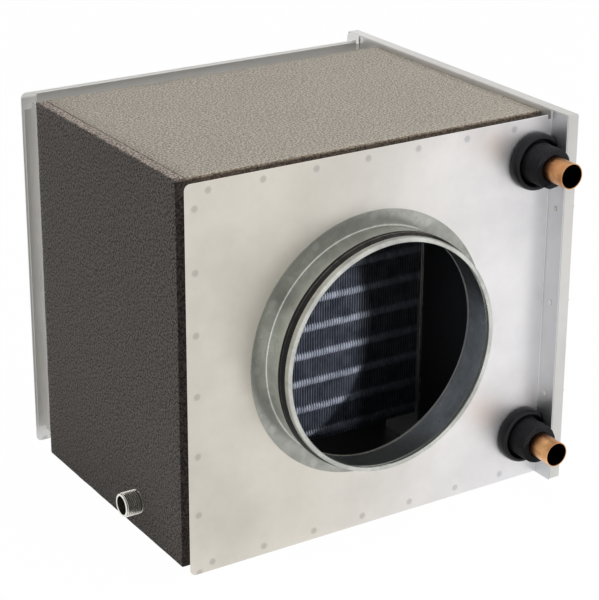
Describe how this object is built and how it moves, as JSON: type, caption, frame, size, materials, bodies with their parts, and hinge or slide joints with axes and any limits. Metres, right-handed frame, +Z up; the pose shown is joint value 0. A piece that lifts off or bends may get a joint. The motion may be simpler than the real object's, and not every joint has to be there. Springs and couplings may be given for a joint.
{
  "type": "duct_coil",
  "caption": "Chilled water duct coil in an insulated square casing, with a round sealed spigot at each end, two copper water connections, a drain nipple and a side cover",
  "frame": {"origin": "On the spigots' common axis, in the plane where the front spigot's straight wall begins, 2.2 mm in front of the front plate", "axes": "+X towards the side cover, +Y along the air path from the front spigot to the rear one, +Z up"},
  "size_m": [0.3815, 0.3712, 0.3335],
  "materials": {
    "zinc_sheet": "galvanised sheet, pale and slightly warm",
    "zinc_pipe": "galvanised pipe, mottled collar and a bright rolled rim",
    "foam": "closed cell foam sheet with a fine matt grain",
    "seal_rubber": "glossy black rubber",
    "grommet_rubber": "smooth black rubber",
    "sleeve_foam": "dark grey pipe foam",
    "fin_aluminium": "thin bright fins",
    "copper": "drawn copper, darker towards the brazed joints",
    "brass": "turned brass",
    "tray_steel": "plain stainless sheet",
    "dark_sheet": "black coated sheet",
    "plated_steel": "bright zinc plated steel"
  },
  "bodies": {
    "casing": {"front_plate": "zinc_sheet", "rear_plate": "zinc_sheet", "casing_wrap": "zinc_sheet", "insulation_left": "foam", "insulation_top": "foam", "insulation_bottom": "foam", "front_spigot": "zinc_pipe", "rear_spigot": "zinc_pipe", "front_lip_seal": "seal_rubber", "rear_lip_seal": "seal_rubber", "fin_pack": "fin_aluminium", "tube_sheet_left": "zinc_sheet", "tube_sheet_right": "zinc_sheet", "coil_hairpins": "copper", "return_bends": "copper", "feeder_tubes": "copper", "outlet_header": "copper", "inlet_header": "copper", "header_caps": "copper", "air_vent_screw": "brass", "drain_screw": "brass", "outlet_grommet": "grommet_rubber", "inlet_grommet": "grommet_rubber", "outlet_pipe_sleeve": "sleeve_foam", "inlet_pipe_sleeve": "sleeve_foam", "drip_tray": "tray_steel", "drain_nipple": "plated_steel", "drain_gasket": "seal_rubber", "drain_locknut": "plated_steel", "top_baffle": "zinc_sheet", "plenum_partition": "dark_sheet", "coil_screws": "plated_steel"},
    "cover": {"access_cover": "zinc_sheet", "cover_insulation": "foam", "cover_screws": "plated_steel"}
  },
  "joints": [
    {"name": "cover_off", "type": "slide", "parent": "casing", "child": "cover", "axis": [1, 0, 0], "range_m": [0, 0.08]}
  ]
}
